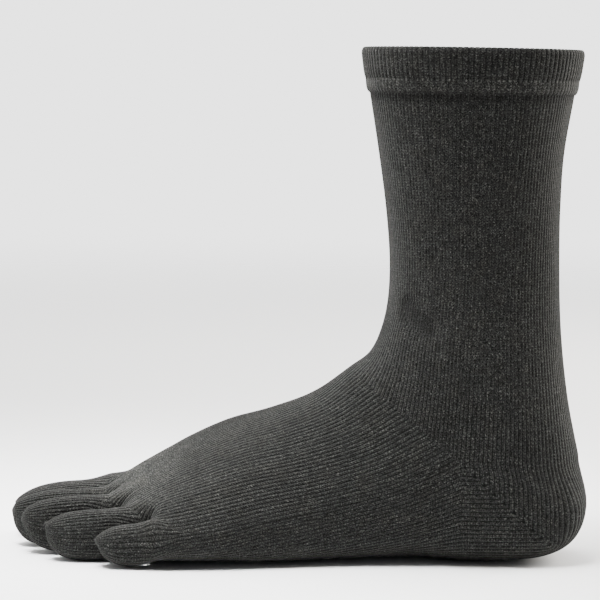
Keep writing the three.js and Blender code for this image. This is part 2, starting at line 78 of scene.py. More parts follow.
# reach and z of the top, outer side, inner side and sole, then ridge y, outer y, inner y, dome, base, arch
FOOT_ROWS = [
    (0.41, 1.0, 0.227, 0.555, 0.227, 0.555, 0.219, 0.0, 0.01, 0.351, 0.351, 2.1, 4.2, 4.2),
    (0.471, 0.858, 0.321, 0.413, 0.321, 0.46, 0.306, 0.006, 0.053, 0.352, 0.356, 2.0, 3.2, 2.8),
    (0.542, 0.765, 0.431, 0.316, 0.431, 0.4, 0.416, 0.006, 0.085, 0.37, 0.362, 1.95, 4.0, 2.2),
    (0.617, 0.69, 0.54, 0.249, 0.56, 0.32, 0.538, 0.0, 0.128, 0.43, 0.405, 1.9, 4.6, 2.3),
    (0.687, 0.583, 0.622, 0.19, 0.668, 0.23, 0.64, 0.0, 0.181, 0.482, 0.473, 1.9, 3.6, 2.7),
    (0.75, 0.462, 0.685, 0.16, 0.748, 0.18, 0.711, 0.0, 0.24, 0.505, 0.495, 2.0, 3.2, 3.0),
]

# reach, y, top z, bottom z
WEBS = [
    (0.732, -0.515, 0.38, 0.38),
    (0.75, -0.372, 0.54, 0.22),
    (0.812, -0.213, 0.62, 0.22),
    (0.834, -0.046, 0.66, 0.22),
    (0.834, 0.135, 0.66, 0.22),
    (0.828, 0.452, 0.52, 0.52),
]
WEB_SAG = 1.2
GROOVE_FADE = 0.25
ROOT_PLACE = 0.62
TOE_BASE_ROW = 4
EDGE_COURSES = 26  # how far forward of the heel the sole's side line shows

# name, tip reach, tip y, tip z, base z, height, tuck, droop, wales over the top
TOES = [
    ("little_toe", 0.8365, -0.43, 0.61, 0.83, 0.75, 0.14, 0.09, 12),
    ("fourth_toe", 0.9245, -0.292, 0.72, 0.95, 0.88, -0.07, 0.0, 12),
    ("third_toe", 0.971, -0.133, 0.58, 1.03, 1.0, 0.0, 0.0, 12),
    ("second_toe", 0.9945, 0.042, 0.6, 1.05, 1.0, -0.1, 0.0, 12),
    ("big_toe", 1.0, 0.29, 0.58, 1.13, 1.0, -0.1, 0.07, 20),
]
WEB_WALES = 1
TOE_CREASE = 0.1
TOE_ROUNDNESS = 2.3
TOE_SPREAD = 0.92
SIDE_ANGLE = math.radians(30)
SIDE_WALES = 8

# share of the pocket's length, of its width, and of its height for its top and its underside
TOE_ROWS = [
    (0.25, 1.0, 1.01, 0.03),
    (0.5, 1.02, 0.98, 0.0),
    (0.7, 1.0, 0.93, 0.05),
    (0.85, 0.85, 0.85, 0.17),
    (0.955, 0.5, 0.75, 0.4),
]
TIP_RING = 0.12  # the last ring's size, as a share of the one before

# share of the welt's height, and how far out as a share of its flare
WELT_OUTLINE = [
    (0.0, 0.1), (0.05, 0.28), (0.12, 0.4), (0.2, 0.46), (0.27, 0.48), (0.31, 0.52),
    (0.38, 0.64), (0.5, 0.76), (0.66, 0.87), (0.8, 0.96), (0.87, 1.0),
]

# The knit
COURSE = 1.2  # height of one row of stitches
FINE = 4  # columns of the mesh in one wale
LINING_ROWS = 2  # the inner face has every second row of the mesh
LINING_COLUMNS = 4  # and every fourth column
ARC_STEPS = 1440  # steps in which the length of half a section is measured
ROW_STEPS = 40  # steps from one row of a table to the next in which lengths are measured
SAMPLE = 8  # lengths down the sock are measured in every eighth column
WALE_WIDTH = 1.7  # about the width of a wale on the foot, for distances counted in wales
SHARP_SHARE = 0.7  # the share of the heel, from its corner, in which the wales turn sharply at the mitre
RIB_RELIEF = 0.18  # how far a wale's crest stands above the grooves beside it
FULL_WALE = 1.5  # a wale narrower than this lies flatter
CROWDED = 2.4  # where this many wales crowd into FINE columns of the mesh, they lie flat
WEB_CALM = 9.0  # how far round the foot of each web the wales lie flatter
WEB_FLATNESS = 0.7  # how much flatter, as a share
LEG_RELIEF = 0.6  # how far the crests stand out on the leg, as a share of RIB_RELIEF
WELT_RIBS = 120
WELT_FINE = 8
WELT_RELIEF = 0.24
RING_HEIGHT = 5.6  # height of the smoother ring below the row of stitches
STITCH_ROW = 0.285  # height of the row of stitches round the welt, as a share of its height
RIB_START = 0.27  # where the ribs begin to stand out, as a share of the welt's height
RIB_FADE = 0.06
RING_RELIEF = 0.25  # how far they stand out below that, as a share
WELT_STEP = 0.7  # height of one row of the welt's mesh
FOLD_STEPS = 8
HEEL_ROWS = 36  # rows of the mesh above the mitre, and again below it
CREASE_REACH = 40.0  # distances to the crease are measured up to here
FAR = 50.0  # stands for a distance to a line that is nowhere near
CREASE_MARK = 100.0  # taken off the distance to the crease, which shares a map with that to the sole's line

# The crease at the front of the ankle: x, y, z, radius and depth, deeper than in the CAD part
DENTS = [
    (-42.9, -21.6, 109.3, 5.0, 2.0),
    (-38.2, -23.8, 105.2, 5.0, 2.4),
    (-33.3, -26.0, 101.0, 5.0, 2.0),
]

# A slanted stretch of the ankle, over which the knit of the foot turns into that of the leg.
# LOW and HIGH are its lower and its upper end, measured at ANKLE_X.
ANKLE_X = -50.0
ANKLE_SLANT = 0.79
ANKLE_LOW = 95.0
ANKLE_HIGH = 120.0

# The roots of the toes, where the knit is pulled flat and its up-facing top is painted paler, as if lit
# from above: the stretches along x in which that fades out
ROOTS_BACK = (-155.0, -128.0)
ROOTS_FRONT = (-179.0, -162.0)
ROOTS_LIGHT_SPAN = (-36.0, -12.0)  # the stretch along y in which the painted light on them grows, away from the little toe

# Colours and tones of the yarn, and the painted light and shade laid on it
YARN = (0.0140, 0.0142, 0.0132, 1.0)
WARM_YARN = (0.0142, 0.0141, 0.0127, 1.0)
HEATHER = 0.85  # how far apart the tones of neighbouring stitches are
FIBRE = 0.95  # how strongly single fibres vary in tone
WALE_TONES = 0.22  # how far apart the tones of neighbouring wales are
FOOT_GROOVE_SHADE = 0.38  # painted shade in the grooves between wales on the foot: the tone there, as a share of that on the crests
# the same painted groove shade on the leg, on the welt's ribs and on its ring
LEG_GROOVE_SHADE = 0.66
WELT_GROOVE_SHADE = 0.5
RING_GROOVE_SHADE = 0.85
ROOT_SHADE_LIFT = 0.35  # how much the painted shade in the grooves is lifted over the roots of the toes
ROOT_PAINTED_LIGHT = 0.75  # how much paler the painted light makes the tops of the roots
MITRE_HOLES = 0.85  # how dark the holes along the heel's mitre are
MITRE_RIDGE = 0.12  # how much paler the knit beside them is
# Painted shade along the crease at the front of the ankle: its width, and how much darker it makes the knit
CREASE_WIDTH = 8.0
CREASE_SHADE = 0.55
SOLE_LINE = 0.3  # how much paler the line at the side of the sole is
UNDER_WELT_SHADE = 0.62  # painted shade on the leg close under the welt: the tone there, as a share
SWAY = 0.28  # how far stitches wander across, in wales
RISE = 0.7  # how far they wander up and down, in courses
LEAN = 1.3  # how steeply the two legs of a stitch lean together
BUMP_STRENGTH = 0.85
BUMP_DISTANCE = 0.00022  # in metres
KNIT_ROUGHNESS = 0.92
KNIT_SPECULAR = 0.1
SHEEN = 0.05
SHEEN_ROUGHNESS = 0.5
SHEEN_TINT = (0.78, 0.78, 0.75, 1.0)

# Floor and lights: metres, watts, and the strengths of the studio's brightness
FLOOR_EDGE = 12.0  # half of the floor's width
FLOOR_DROP = 0.0002  # how far the floor lies under the sole
FLOOR_COLOUR = (0.9, 0.9, 0.9, 1.0)
FADE_START = 0.5  # how far from the middle the floor begins to fade out
FADE_END = 2.2
WORLD_NEAR = 0.1  # on the side of the little toe
WORLD_LOW = 1.6  # the same, below the horizon
WORLD_FAR = 3.0  # behind the sock
TOP_POWER = 11.0
SIDE_POWER = 31.0
TOE_POWER = 2.9
SUBJECT = (-0.087, 0.0, 0.09)  # what the large lights point at

# The camera, in millimetres
CAMERA_AWAY = 1000.0
CAMERA_X = -87.3
CAMERA_ABOVE_FLOOR = 204.0
AIM_ABOVE_FLOOR = 111.0
CAMERA_ROLL = math.radians(1.0)
PIXELS_PER_MM = 2.29
FRAME_PIXELS = 600
SENSOR = 36.0


def at(reach, y, z):
    return np.array([HEEL_SEAT - reach, y, FLOOR + z])


def mix(a, b, t):
    return a + (b - a) * t


def smooth_step(t):
    t = np.clip(t, 0.0, 1.0)
    return t * t * (3 - 2 * t)


def bow(value, power):
    return np.maximum(value, 0.0) ** (2.0 / power)


def half_points(angle, outer, middle, inner, outer_power, inner_power):
    first = angle < math.pi / 2
    power = np.where(first, outer_power, inner_power)
    to_middle = bow(np.sin(angle), power)
    to_side = bow(np.abs(np.cos(angle)), power)
    side = np.where(first[:, None], outer, inner)
    p = np.empty((len(angle), 3))
    p[:, 0] = side[:, 0] + (middle[0] - side[:, 0]) * to_middle
    p[:, 2] = side[:, 2] + (middle[2] - side[:, 2]) * to_middle
    p[:, 1] = middle[1] + (side[:, 1] - middle[1]) * to_side
    return p, to_middle


def half_section(shares, outer, middle, inner, outer_power, inner_power=None):
    """Points that divide half a section's length in the given shares, and how far to the middle each is."""
    inner_power = outer_power if inner_power is None else inner_power
    angle = np.linspace(0.0, math.pi, ARC_STEPS + 1)
    p, _ = half_points(angle, outer, middle, inner, outer_power, inner_power)
    length = np.concatenate([[0.0], np.cumsum(np.linalg.norm(np.diff(p, axis=0), axis=1))])
    wanted = np.interp(shares * length[-1], length, angle)
    return half_points(wanted, outer, middle, inner, outer_power, inner_power)


def along_rows(rows, places):
    """A smooth curve through each column's rows, read at row numbers that needn't be whole."""
    rows = np.asarray(rows)
    padded = np.concatenate([2 * rows[:1] - rows[1:2], rows, 2 * rows[-1:] - rows[-2:-1]])
    i = np.minimum(places.astype(int), len(rows) - 2)
    t = (places - i)[:, None, None]
    p, q, r, s = padded[i], padded[i + 1], padded[i + 2], padded[i + 3]
    return q + 0.5 * t * (r - p + t * (2 * p - 5 * q + 4 * r - s + t * (3 * (q - r) + s - p)))


def even_rows(rows, pitch):
    """The same surface, cut into rows that are on average one pitch apart. Also the number of rows."""
    fine = np.linspace(0, len(rows) - 1, ROW_STEPS * (len(rows) - 1) + 1)
    sample = along_rows(np.asarray(rows)[:, ::SAMPLE], fine)
    step = np.linalg.norm(np.diff(sample, axis=0), axis=2).mean(axis=1)
    length = np.concatenate([[0.0], np.cumsum(step)])
    count = max(2, int(round(length[-1] / pitch)))
    places = np.interp(np.linspace(0, length[-1], count + 1), length, fine)
    return along_rows(rows, places), count


# Columns: wales across the upper half of the sock, from the little toe's side over the front
UPPER_WALES = sum(t[8] for t in TOES) + WEB_WALES * (len(TOES) - 1)
WALE = np.arange(UPPER_WALES * FINE + 1) / FINE
SHARES = WALE / UPPER_WALES
TOE_START = [sum(t[8] + WEB_WALES for t in TOES[:k]) for k in range(len(TOES))]

foot_parts = []
for row in FOOT_ROWS:
    (top_reach, top_z, outer_reach, outer_z, inner_reach, inner_z, sole_reach, sole_z,
     ridge_y, outer_y, inner_y, dome, base, arch) = row
    outer = at(outer_reach * FOOT_LENGTH, -outer_y * BALL_WIDTH, outer_z * INSTEP_HEIGHT)
    inner = at(inner_reach * FOOT_LENGTH, inner_y * BALL_WIDTH, inner_z * INSTEP_HEIGHT)
    top = at(top_reach * FOOT_LENGTH, ridge_y * BALL_WIDTH, top_z * INSTEP_HEIGHT)
    sole = at(sole_reach * FOOT_LENGTH, 0.0, sole_z * INSTEP_HEIGHT)
    upper, _ = half_section(SHARES, outer, top, inner, dome)
    lower, down = half_section(SHARES, outer, sole, inner, base, arch)
    foot_parts.append((upper, lower, down, outer, inner, top, sole, base))
corner_outer, corner_inner, corner_top, corner_sole = foot_parts[0][3:7]
ankle_back = np.array([HEEL_SEAT - HEEL_BULGE, 0.0, corner_outer[2]])

leg_upper, leg_lower = [], []
leg_x = HEEL_SEAT - LEG_AXIS
for front_rise, side_rise, back_rise, front, back, half_width in LEG_ROWS:
    side_x = mix(corner_outer[0], leg_x, min(1.0, side_rise / SIDE_LINE_RISE))
    outer = np.array([side_x, -half_width * LEG_WIDTH, mix(corner_outer[2], FLOOR + LEG_TOP, side_rise)])
    inner = outer * (1, -1, 1)
    front_p = np.array([leg_x - front * LEG_DEPTH, 0.0, mix(corner_top[2], FLOOR + LEG_TOP, front_rise)])
    back_p = np.array([leg_x + back * LEG_DEPTH, 0.0, mix(ankle_back[2], FLOOR + LEG_TOP, back_rise)])
    leg_upper.append(half_section(SHARES, outer, front_p, inner, LEG_ROUNDNESS)[0])
    leg_lower.append(half_section(SHARES, outer, back_p, inner, LEG_ROUNDNESS)[0])
heel_top, heel_back_share = half_section(SHARES, corner_outer, ankle_back, corner_inner, LEG_ROUNDNESS)
leg_upper.append(foot_parts[0][0])
leg_lower.append(heel_top)


def heel_shares(turn):
    """How far back and how far down from the heel's corner the points of a row lie, as shares."""
    c, s = math.cos(turn * math.pi / 2), math.sin(turn * math.pi / 2)
    back, down = heel_back_share, foot_parts[0][2]
    mitre = mix(MITRE_SQUARENESS, HEEL_SQUARENESS, (back * c * c + down * s * s) ** 2)
    reach = (c ** mitre + s ** mitre) ** (-1.0 / mitre)
    return back * c * reach, down * s * reach


def heel_row(turn):
    """The heel's wales run down from the leg, turn at the mitre and run forward along the sole."""
    power = mix(LEG_ROUNDNESS, foot_parts[0][7], smooth_step(turn / SOLE_TURN))
    back, down = heel_shares(turn)
    out = np.minimum(1.0, (back ** HEEL_SQUARENESS + down ** HEEL_SQUARENESS) ** (1.0 / HEEL_SQUARENESS))
    depth = ankle_back[0] - corner_outer[0] + HEEL_BULGE * smooth_step(turn / BULGE_TURN)
    p = np.empty((len(SHARES), 3))
    p[:, 0] = corner_outer[0] + depth * back + (corner_sole[0] - corner_outer[0]) * down
    p[:, 2] = corner_outer[2] + (corner_sole[2] - corner_outer[2]) * down
    corner_y = np.where(SHARES < 0.5, corner_outer[1], corner_inner[1])
    p[:, 1] = corner_y * (1.0 - out ** power) ** (1.0 / power)
    return p


def heel_wales(turn):
    """The wale at each point of a row: a sharp corner at the mitre, and straight in the middle."""
    back, down = heel_shares(turn)
    y, leg_y, sole_y = heel_row(turn)[:, 1], heel_top[:, 1], foot_lower[0][:, 1]
    middle = len(WALE) // 2
    wales = WALE.copy()
    for side in (slice(0, middle + 1), slice(None, middle - 1, -1)):
        from_corner = np.abs(WALE[side] - WALE[side][0])
        sharp = np.maximum(np.interp(back[side], heel_back_share[side], from_corner),
                           np.interp(down[side], foot_parts[0][2][side], from_corner))
        straight = mix(np.interp(-np.abs(y[side]), -np.abs(leg_y[side]), from_corner),
                       np.interp(-np.abs(y[side]), -np.abs(sole_y[side]), from_corner), smooth_step(turn))
        middle_part = smooth_step((heel_back_share[side] - SHARP_SHARE) / (1.0 - SHARP_SHARE))
        inward = np.sign(WALE[middle] - WALE[side][0])
        wales[side] = WALE[side][0] + inward * mix(sharp, straight, middle_part)
    return wales


def toe_arch(toe, across, groove, upper):
    """A toe's root: the arch between its two webs. groove is 1 at the webs, and less further back."""
    left, right = WEBS[toe], WEBS[toe + 1]
    first, last = toe == 0, toe == len(TOES) - 1
    y_left = left[1] * BALL_WIDTH + (0.0 if first else WEB_WIDTH / 2)
    y_right = right[1] * BALL_WIDTH - (0.0 if last else WEB_WIDTH / 2)
    crest = TOES[toe][4] if upper else TOE_CREASE
    near_left = across < 0.5
    web_z = np.where(near_left, left[2 if upper else 3], right[2 if upper else 3])
    beside_left = crest if first else ((crest + TOES[toe - 1][4]) / 2 if upper else crest)
    beside_right = crest if last else ((crest + TOES[toe + 1][4]) / 2 if upper else crest)
    level = np.where(near_left, beside_left, beside_right)
    fade = np.where(near_left, 1.0 if first else groove, 1.0 if last else groove)
    low = mix(level, web_z, fade)
    arch = np.maximum(np.sin(math.pi * across), 0.0)
    p = np.empty((len(across), 3))
    p[:, 0] = HEEL_SEAT - mix(left[0], right[0], across) * FOOT_LENGTH
    p[:, 1] = (y_left + y_right) / 2 - (y_right - y_left) / 2 * np.cos(math.pi * across)
    p[:, 2] = FLOOR + mix(low, crest, arch) * TOE_HEIGHT
    return p


def toe_row(groove, upper):
    """The whole row of roots, with each web's wale filled in between two toes."""
    row = np.full((len(WALE), 3), np.nan)
    for k, toe in enumerate(TOES):
        first = TOE_START[k] * FINE
        count = toe[8] * FINE
        row[first:first + count + 1] = toe_arch(k, np.arange(count + 1) / count, groove, upper)
        if k:
            a, b = row[first - WEB_WALES * FINE], row[first]
            for i in range(1, WEB_WALES * FINE):
                row[first - WEB_WALES * FINE + i] = mix(a, b, i / (WEB_WALES * FINE))
    return row


foot_upper = [part[0] for part in foot_parts]
foot_lower = [part[1] for part in foot_parts]
foot_upper += [mix(foot_upper[-1], toe_row(GROOVE_FADE, True), ROOT_PLACE), toe_row(1.0, True)]
foot_lower += [mix(foot_lower[-1], toe_row(GROOVE_FADE, False), ROOT_PLACE), toe_row(1.0, False)]


# The skin, as grids of points.
# A grid's rows run down the sock and on to the toes. Its columns run from the right to the left when seen
# from outside. u counts wales and v counts courses, so the stitches run on from one grid into the next.
GRIDS = []


def add_grid(zone, points, u, v, relief, mitre=FAR, edge=FAR):
    """Distances in millimetres: mitre to the heel's mitre line, and edge to the sole's side line.

    On the leg, edge is the distance to the crease less CREASE_MARK.
    """
    shape = points.shape[:2]
    GRIDS.append({"zone": zone, "p": points, "u": u, "v": v, "relief": relief,
                  "mitre": np.broadcast_to(mitre, shape), "edge": np.broadcast_to(edge, shape)})


def columns_like(values, rows):
    return np.broadcast_to(np.asarray(values, float), (rows, len(values)))


def ring(upper, lower):
    """A whole round: the upper half, then the lower half back again to the start."""
    return np.concatenate([upper, lower[:, ::-1][:, 1:]], axis=1)


RING_WALE = np.concatenate([WALE, UPPER_WALES + WALE[1:]])
LOWER_WALE = 2 * UPPER_WALES - WALE

leg_points, leg_courses = even_rows(ring(np.array(leg_upper), np.array(leg_lower)), COURSE)
v_leg = np.arange(leg_courses + 1, dtype=float)
fold_start, fold_end = np.array(DENTS[0][:3]), np.array(DENTS[-1][:3])
fold_way = fold_end - fold_start
along_fold = np.clip((leg_points - fold_start) @ fold_way / (fold_way ** 2).sum(), 0, 1)
to_fold = np.linalg.norm(leg_points - fold_start - along_fold[..., None] * fold_way, axis=2)
leg_v = np.repeat(v_leg[:, None], len(RING_WALE), axis=1)
add_grid("leg_tube", leg_points, columns_like(RING_WALE, leg_courses + 1), leg_v, 1.0,
         edge=np.minimum(to_fold, CREASE_REACH) - CREASE_MARK)

places = np.linspace(0, len(foot_upper) - 1, ROW_STEPS * (len(foot_upper) - 1) + 1)
run_length = []
for half in (foot_upper, foot_lower):
    strides = np.linalg.norm(np.diff(along_rows(half, places)[:, ::SAMPLE], axis=0), axis=2).mean(axis=1)
    run_length.append(np.concatenate([[0.0], np.cumsum(strides)]))
foot_courses = int(round((run_length[0][-1] + run_length[1][-1]) / 2 / COURSE))
both = run_length[0] / run_length[0][-1] + run_length[1] / run_length[1][-1]
foot_places = np.interp(np.linspace(0, 2, foot_courses + 1), both, places)
SPLIT = int(np.argmin(np.abs(foot_places - TOE_BASE_ROW)))
foot_places[SPLIT] = TOE_BASE_ROW
foot_top = along_rows(foot_upper, foot_places)
foot_sole = along_rows(foot_lower, foot_places)
foot_sole[:, [0, -1]] = foot_top[:, [0, -1]]
v_foot = leg_courses + np.arange(foot_courses + 1, dtype=float)
v_end = v_foot[-1]
for zone, part in (("foot_tube", slice(0, SPLIT + 1)), ("toe_base", slice(SPLIT, None))):
    v = np.repeat(v_foot[part, None], len(WALE), axis=1)
    fade = np.clip((v - leg_courses) / EDGE_COURSES, 0.0, 1.0) ** 3 * FAR
    edge_gap = np.minimum(WALE, UPPER_WALES - WALE)[None] * WALE_WIDTH + fade
    add_grid(zone, foot_top[part], columns_like(WALE, len(v)), v, 1.0, edge=edge_gap)
    add_grid(zone, foot_sole[part][:, ::-1], columns_like(LOWER_WALE[::-1], len(v)), v, 1.0, edge=edge_gap)

turns = np.concatenate([np.linspace(0, 0.5, HEEL_ROWS + 1), np.linspace(0.5, 1, HEEL_ROWS + 1)[1:]])
heel = np.array([heel_row(t) for t in turns])
heel_u = 2 * UPPER_WALES - np.array([heel_wales(t) for t in turns])
heel[0] = heel_top
heel[-1] = foot_lower[0]
step = np.linalg.norm(np.diff(heel, axis=0), axis=2)
run = np.concatenate([np.zeros((1, heel.shape[1])), np.cumsum(step, axis=0)])
v_upper = leg_courses + run[:HEEL_ROWS + 1] / COURSE
v_lower = leg_courses - (run[-1] - run[HEEL_ROWS:]) / COURSE
to_mitre = np.abs(run - run[HEEL_ROWS])
for rows, v in ((slice(0, HEEL_ROWS + 1), v_upper), (slice(HEEL_ROWS, None), v_lower)):
    add_grid("heel_pocket", heel[rows][:, ::-1], heel_u[rows][:, ::-1], v[:, ::-1], 1.0,
             mitre=to_mitre[rows][:, ::-1])


def web_edge(web, side, count):
    reach, y, top_z, bottom_z = WEBS[web]
    down = np.arange(count + 1) / count
    p = np.empty((count + 1, 3))
    p[:, 0] = HEEL_SEAT - reach * FOOT_LENGTH + WEB_SAG * np.sin(math.pi * down)
    p[:, 1] = y * BALL_WIDTH + side * WEB_WIDTH / 2
    p[:, 2] = FLOOR + mix(top_z, bottom_z, down) * TOE_HEIGHT
    return p


SIDE_COUNT = SIDE_WALES * FINE
for web in range(1, len(WEBS) - 1):
    left, right = web_edge(web, -1, SIDE_COUNT), web_edge(web, 1, SIDE_COUNT)
    across = np.linspace(0, 1, WEB_WALES * FINE + 1)
    strip = left[:, None] + (right - left)[:, None] * across[None, :, None]
    u = columns_like((TOE_START[web] - WEB_WALES) + across * WEB_WALES, SIDE_COUNT + 1)
    v = np.repeat((v_end + np.arange(SIDE_COUNT + 1) / FINE)[:, None], len(across), axis=1)
    add_grid("toe_base", strip, u, v, 0.0)


def toe_rings(k):
    """One pocket, from its root to its tip, as rings that start at the outer side and go over the top."""
    name, tip, tip_y, tip_z, _, tall, tuck, droop, wales = TOES[k]
    left, right = WEBS[k], WEBS[k + 1]
    first, last = k == 0, k == len(TOES) - 1
    start = math.pi - (0.0 if first else SIDE_ANGLE)
    end = 0.0 if last else SIDE_ANGLE
    count = wales * FINE
    angle = [np.linspace(start, end, count + 1)]
    u = [TOE_START[k] + np.arange(count + 1) / FINE]
    begin = TOE_START[k] * FINE
    root = [foot_top[-1][begin:begin + count + 1]]
    if not last:
        angle.append(np.linspace(end, -end, SIDE_COUNT + 1)[1:])
        u.append(u[-1][-1] + np.arange(1, SIDE_COUNT + 1) / FINE)
        root.append(web_edge(k + 1, -1, SIDE_COUNT)[1:])
    angle.append(np.linspace(-end, -start, count + 1)[1:])
    u.append(u[-1][-1] + np.arange(1, count + 1) / FINE)
    root.append(foot_sole[-1][begin:begin + count + 1][::-1][1:])
    if not first:
        angle.append(np.linspace(-start, start - 2 * math.pi, SIDE_COUNT + 1)[1:])
        u.append(u[-1][-1] + np.arange(1, SIDE_COUNT + 1) / FINE)
        root.append(web_edge(k, 1, SIDE_COUNT)[::-1][1:])
    angle, u, root = np.concatenate(angle), np.concatenate(u), np.concatenate(root)
    c, s = np.cos(angle), np.sin(angle)
    side = np.sign(c) * bow(np.abs(c), TOE_ROUNDNESS)
    up = np.sign(s) * bow(np.abs(s), TOE_ROUNDNESS)
    height = tall * TOE_HEIGHT
    root_reach = mix(left[0], right[0], (side + 1) / 2)

    def section(along, width, top, bottom):
        top -= droop * along ** 2
        bottom = max(0.0, bottom + tuck * along ** 2)
        half = (right[1] - left[1]) * BALL_WIDTH * TOE_SPREAD * width / 2
        middle = mix((left[1] + right[1]) / 2, tip_y, along) * BALL_WIDTH
        p = np.empty((len(angle), 3))
        p[:, 0] = HEEL_SEAT - mix(root_reach, tip, along) * FOOT_LENGTH
        p[:, 1] = middle + half * side
        p[:, 2] = FLOOR + height * ((top + bottom) / 2 + (top - bottom) / 2 * up)
        return p

    rings = [root] + [section(*row) for row in TOE_ROWS]
    tip_point = at(tip * FOOT_LENGTH, tip_y * BALL_WIDTH, height * tip_z)
    rings.append(tip_point + (rings[-1] - rings[-1].mean(axis=0)) * TIP_RING)
    points, courses = even_rows(rings, COURSE)
    points = np.concatenate([points, np.broadcast_to(tip_point, (1, len(angle), 3))])
    v = np.repeat((v_end + np.arange(courses + 2, dtype=float))[:, None], len(angle), axis=1)
    add_grid(name, points, columns_like(u, courses + 2), v, 1.0)


for k in range(len(TOES)):
    toe_rings(k)

# One welded skin, for its normals and its relief
sizes = [g["p"].shape[0] * g["p"].shape[1] for g in GRIDS]
offsets = np.concatenate([[0], np.cumsum(sizes)])
points = np.concatenate([g["p"].reshape(-1, 3) for g in GRIDS])
_, keep, weld = np.unique(np.round(points, 4), axis=0, return_index=True, return_inverse=True)
weld = weld.reshape(-1)
skin = points[keep]
for g, start in zip(GRIDS, offsets):
    rows, cols = g["p"].shape[:2]
    g["id"] = weld[start:start + rows * cols].reshape(rows, cols)


def quads(ids):
    """Faces of a grid, outward."""
    a, b, c, d = ids[:-1, :-1], ids[:-1, 1:], ids[1:, 1:], ids[1:, :-1]
    return np.stack([a, b, c, d], axis=-1).reshape(-1, 4)


def vertex_normals(vertices, faces):
    total = np.zeros_like(vertices)
    for tri in (faces[:, [0, 1, 2]], faces[:, [0, 2, 3]]):
        a, b, c = vertices[tri[:, 0]], vertices[tri[:, 1]], vertices[tri[:, 2]]
        area = np.cross(b - a, c - a)
        for k in range(3):
            for axis in range(3):
                total[:, axis] += np.bincount(tri[:, k], area[:, axis], len(vertices))
    return total / np.maximum(np.linalg.norm(total, axis=1, keepdims=True), 1e-12)


all_faces = np.concatenate([quads(g["id"]) for g in GRIDS])
normals = vertex_normals(skin, all_faces)

relief = np.zeros(len(skin))
for g in GRIDS:
    crest = 0.5 - 0.5 * np.cos(2 * math.pi * g["u"])
    across = np.linalg.norm(np.diff(g["p"], axis=1), axis=2) * FINE
    wide = np.concatenate([across[:, :1], (across[:, 1:] + across[:, :-1]) / 2, across[:, -1:]], axis=1)
    rate = np.abs(np.gradient(g["u"], axis=1)) * FINE
    share = np.clip(wide / FULL_WALE, 0.0, 1.0) ** 1.5 * np.clip(CROWDED - rate, 0.0, 1.0)
    relief[g["id"].reshape(-1)] = (RIB_RELIEF * g["relief"] * share * (crest - 1.0)).reshape(-1)
up_the_leg = skin[:, 2] + ANKLE_SLANT * (skin[:, 0] - ANKLE_X)
up_the_leg = smooth_step((up_the_leg - ANKLE_LOW) / (ANKLE_HIGH - ANKLE_LOW))
relief *= mix(1.0, LEG_RELIEF, up_the_leg)
for reach, y, _, _ in WEBS[1:-1]:
    away = np.hypot(skin[:, 0] - HEEL_SEAT + reach * FOOT_LENGTH, skin[:, 1] - y * BALL_WIDTH) / WEB_CALM
    relief *= 1.0 - WEB_FLATNESS * np.exp(-away ** 2)
for x, y, z, radius, depth in DENTS:
    away = ((skin - (x, y, z)) ** 2).sum(axis=1) / radius ** 2
    relief -= depth * np.exp(-away)
knitted = skin + normals * relief[:, None]
knit_normals = vertex_normals(knitted, all_faces)


def make_piece(name, sheets, material):
    """A mesh from sheets of (points, normals, u, v, mitre, edge). Points are shared inside a sheet only."""
    verts, norms, faces, uvs, seams = [], [], [], [], []
    base = 0
    for p, n, u, v, mitre, edge in sheets:
        rows, cols = p.shape[:2]
        ids = base + np.arange(rows * cols).reshape(rows, cols)
        verts.append(p.reshape(-1, 3))
        norms.append(n.reshape(-1, 3))
        faces.append(quads(ids))
        uvs.append(np.stack([u, v], axis=-1).reshape(-1, 2))
        seams.append(np.stack([mitre, edge], axis=-1).reshape(-1, 2))
        base += rows * cols
    verts, norms, faces, uvs, seams = map(np.concatenate, (verts, norms, faces, uvs, seams))
    mesh = bpy.data.meshes.new(name)
    mesh.vertices.add(len(verts))
    mesh.vertices.foreach_set("co", (verts * MM).astype(np.float32).ravel())
    mesh.loops.add(len(faces) * 4)
    mesh.loops.foreach_set("vertex_index", faces.astype(np.int32).ravel())
    mesh.polygons.add(len(faces))
    mesh.polygons.foreach_set("loop_start", np.arange(0, len(faces) * 4, 4, dtype=np.int32))
    layer = mesh.uv_layers.new(name="knit")
    layer.data.foreach_set("uv", uvs[faces.ravel()].astype(np.float32).ravel())
    layer = mesh.uv_layers.new(name="seams")
    layer.data.foreach_set("uv", seams[faces.ravel()].astype(np.float32).ravel())
    mesh.update()
    mesh.polygons.foreach_set("use_smooth", np.ones(len(faces), dtype=bool))
    mesh.normals_split_custom_set_from_vertices(norms.tolist())
    mesh.materials.append(material)
    obj = bpy.data.objects.new(name, mesh)
    bpy.context.scene.collection.objects.link(obj)
    return obj


